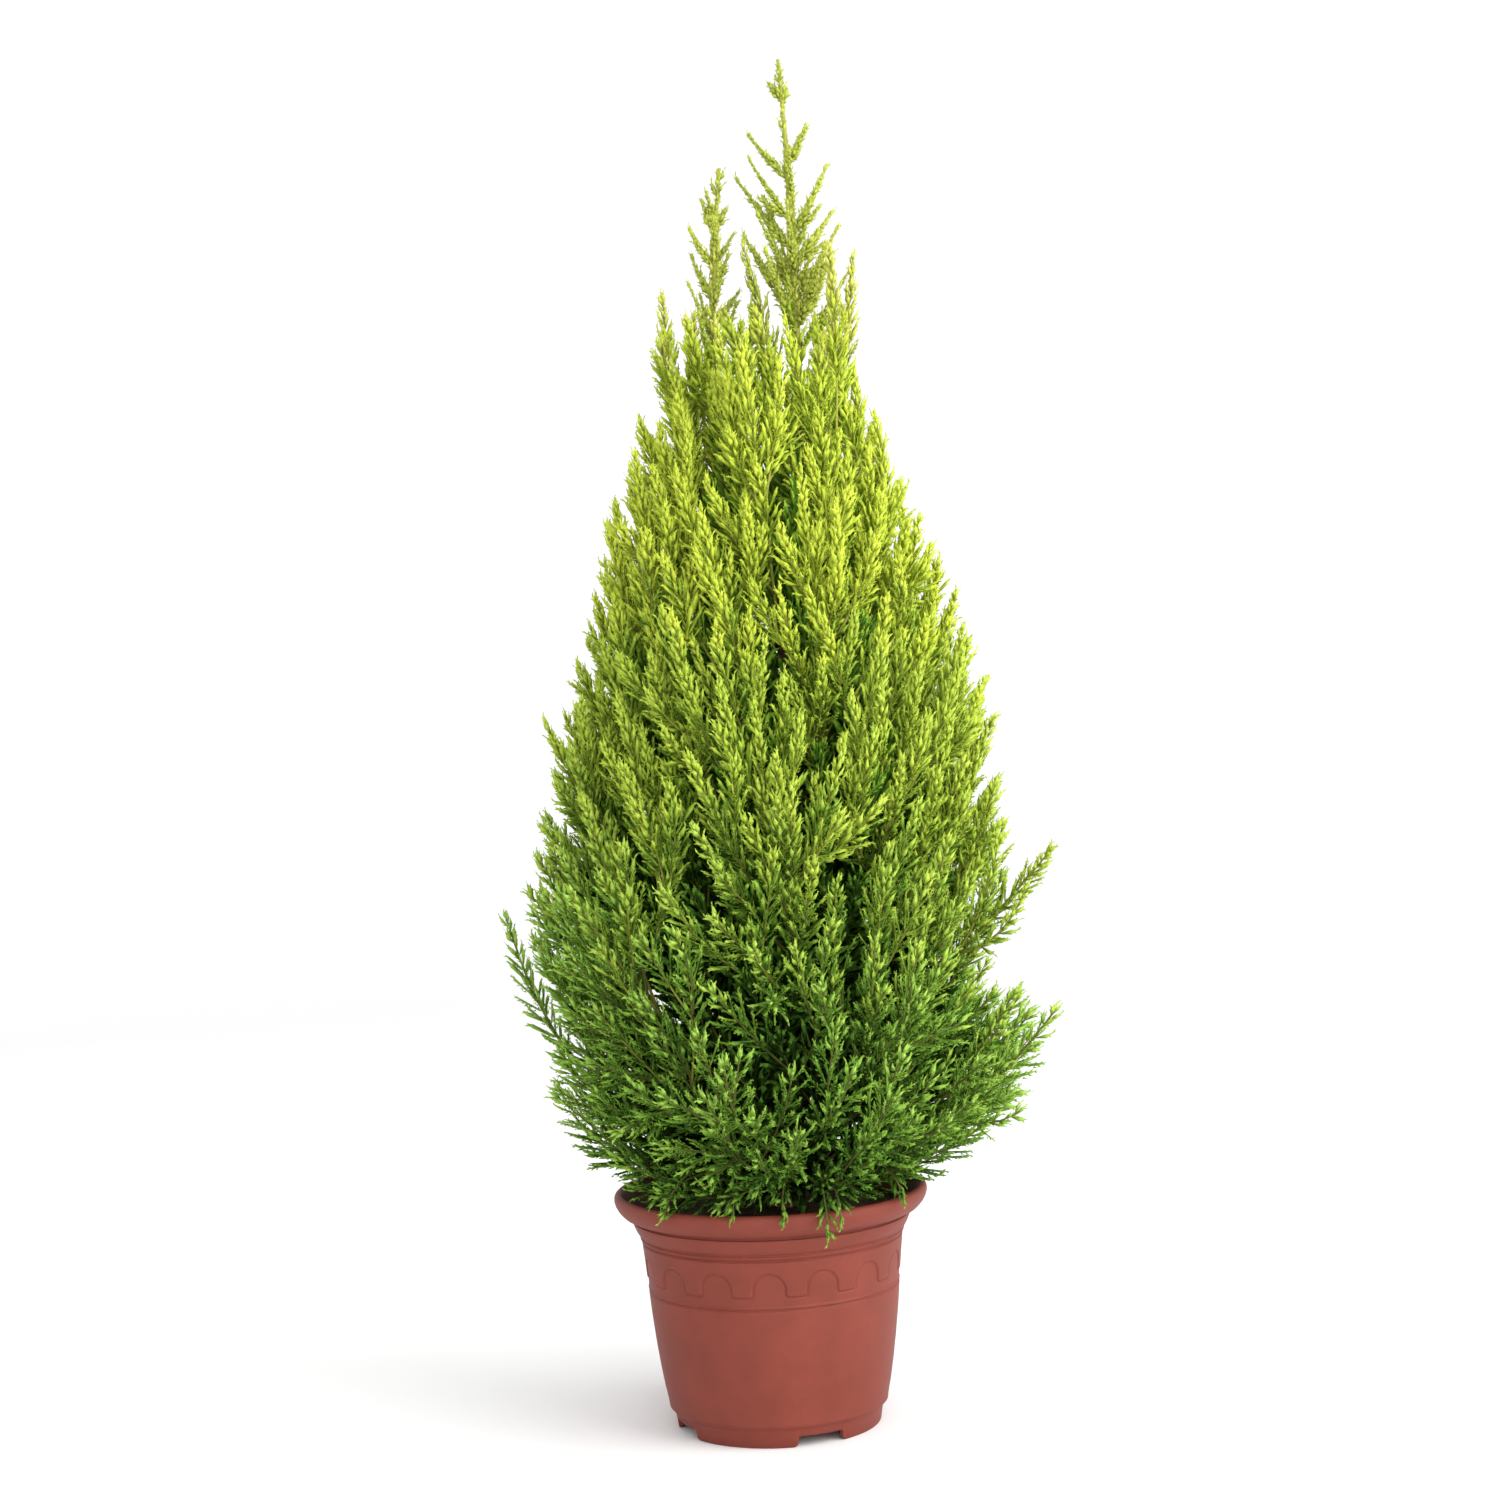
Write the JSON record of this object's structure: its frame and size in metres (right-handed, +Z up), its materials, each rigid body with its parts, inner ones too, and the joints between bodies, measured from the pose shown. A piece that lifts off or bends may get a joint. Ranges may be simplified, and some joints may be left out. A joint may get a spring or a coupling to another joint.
{
  "type": "potted lemon cypress",
  "caption": "Narrow, feathery, yellow-green cypress with a pointed crown and leading shoots, in a round terracotta-coloured plastic pot with an embossed arch band.",
  "frame": {"origin": "on the pot's axis, at the level that the pot's feet stand on", "axes": "+Z up along the pot's axis; -Y towards the front, the side seen in the picture; +X to the right of a viewer there"},
  "size_m": [0.383, 0.3545, 0.952],
  "materials": {
    "pot_plastic": "matte, slightly grained terracotta plastic",
    "soil": "rough, dark potting mix",
    "bark": "rough reddish-brown bark",
    "foliage": "soft, matte yellow-green foliage"
  },
  "bodies": {
    "root": {"bough_lower_1": "bark", "bough_lower_2": "bark", "bough_lower_3": "bark", "bough_lower_4": "bark", "bough_lower_5": "bark", "bough_middle_1": "bark", "bough_middle_2": "bark", "bough_middle_3": "bark", "bough_middle_4": "bark", "bough_middle_5": "bark", "bough_middle_6": "bark", "bough_middle_7": "bark", "bough_middle_8": "bark", "bough_side_leader": "bark", "bough_skirt_1": "bark", "bough_skirt_2": "bark", "bough_skirt_3": "bark", "bough_skirt_4": "bark", "bough_upper_1": "bark", "bough_upper_10": "bark", "bough_upper_2": "bark", "bough_upper_3": "bark", "bough_upper_4": "bark", "bough_upper_5": "bark", "bough_upper_6": "bark", "bough_upper_7": "bark", "bough_upper_8": "bark", "bough_upper_9": "bark", "foliage_leader": "foliage", "foliage_lower_1": "foliage", "foliage_lower_2": "foliage", "foliage_lower_3": "foliage", "foliage_lower_4": "foliage", "foliage_lower_5": "foliage", "foliage_middle_1": "foliage", "foliage_middle_2": "foliage", "foliage_middle_3": "foliage", "foliage_middle_4": "foliage", "foliage_middle_5": "foliage", "foliage_middle_6": "foliage", "foliage_middle_7": "foliage", "foliage_middle_8": "foliage", "foliage_side_leader": "foliage", "foliage_skirt_1": "foliage", "foliage_skirt_2": "foliage", "foliage_skirt_3": "foliage", "foliage_skirt_4": "foliage", "foliage_upper_1": "foliage", "foliage_upper_10": "foliage", "foliage_upper_2": "foliage", "foliage_upper_3": "foliage", "foliage_upper_4": "foliage", "foliage_upper_5": "foliage", "foliage_upper_6": "foliage", "foliage_upper_7": "foliage", "foliage_upper_8": "foliage", "foliage_upper_9": "foliage", "pot": "pot_plastic", "soil": "soil", "trunk": "bark"}
  },
  "joints": []
}
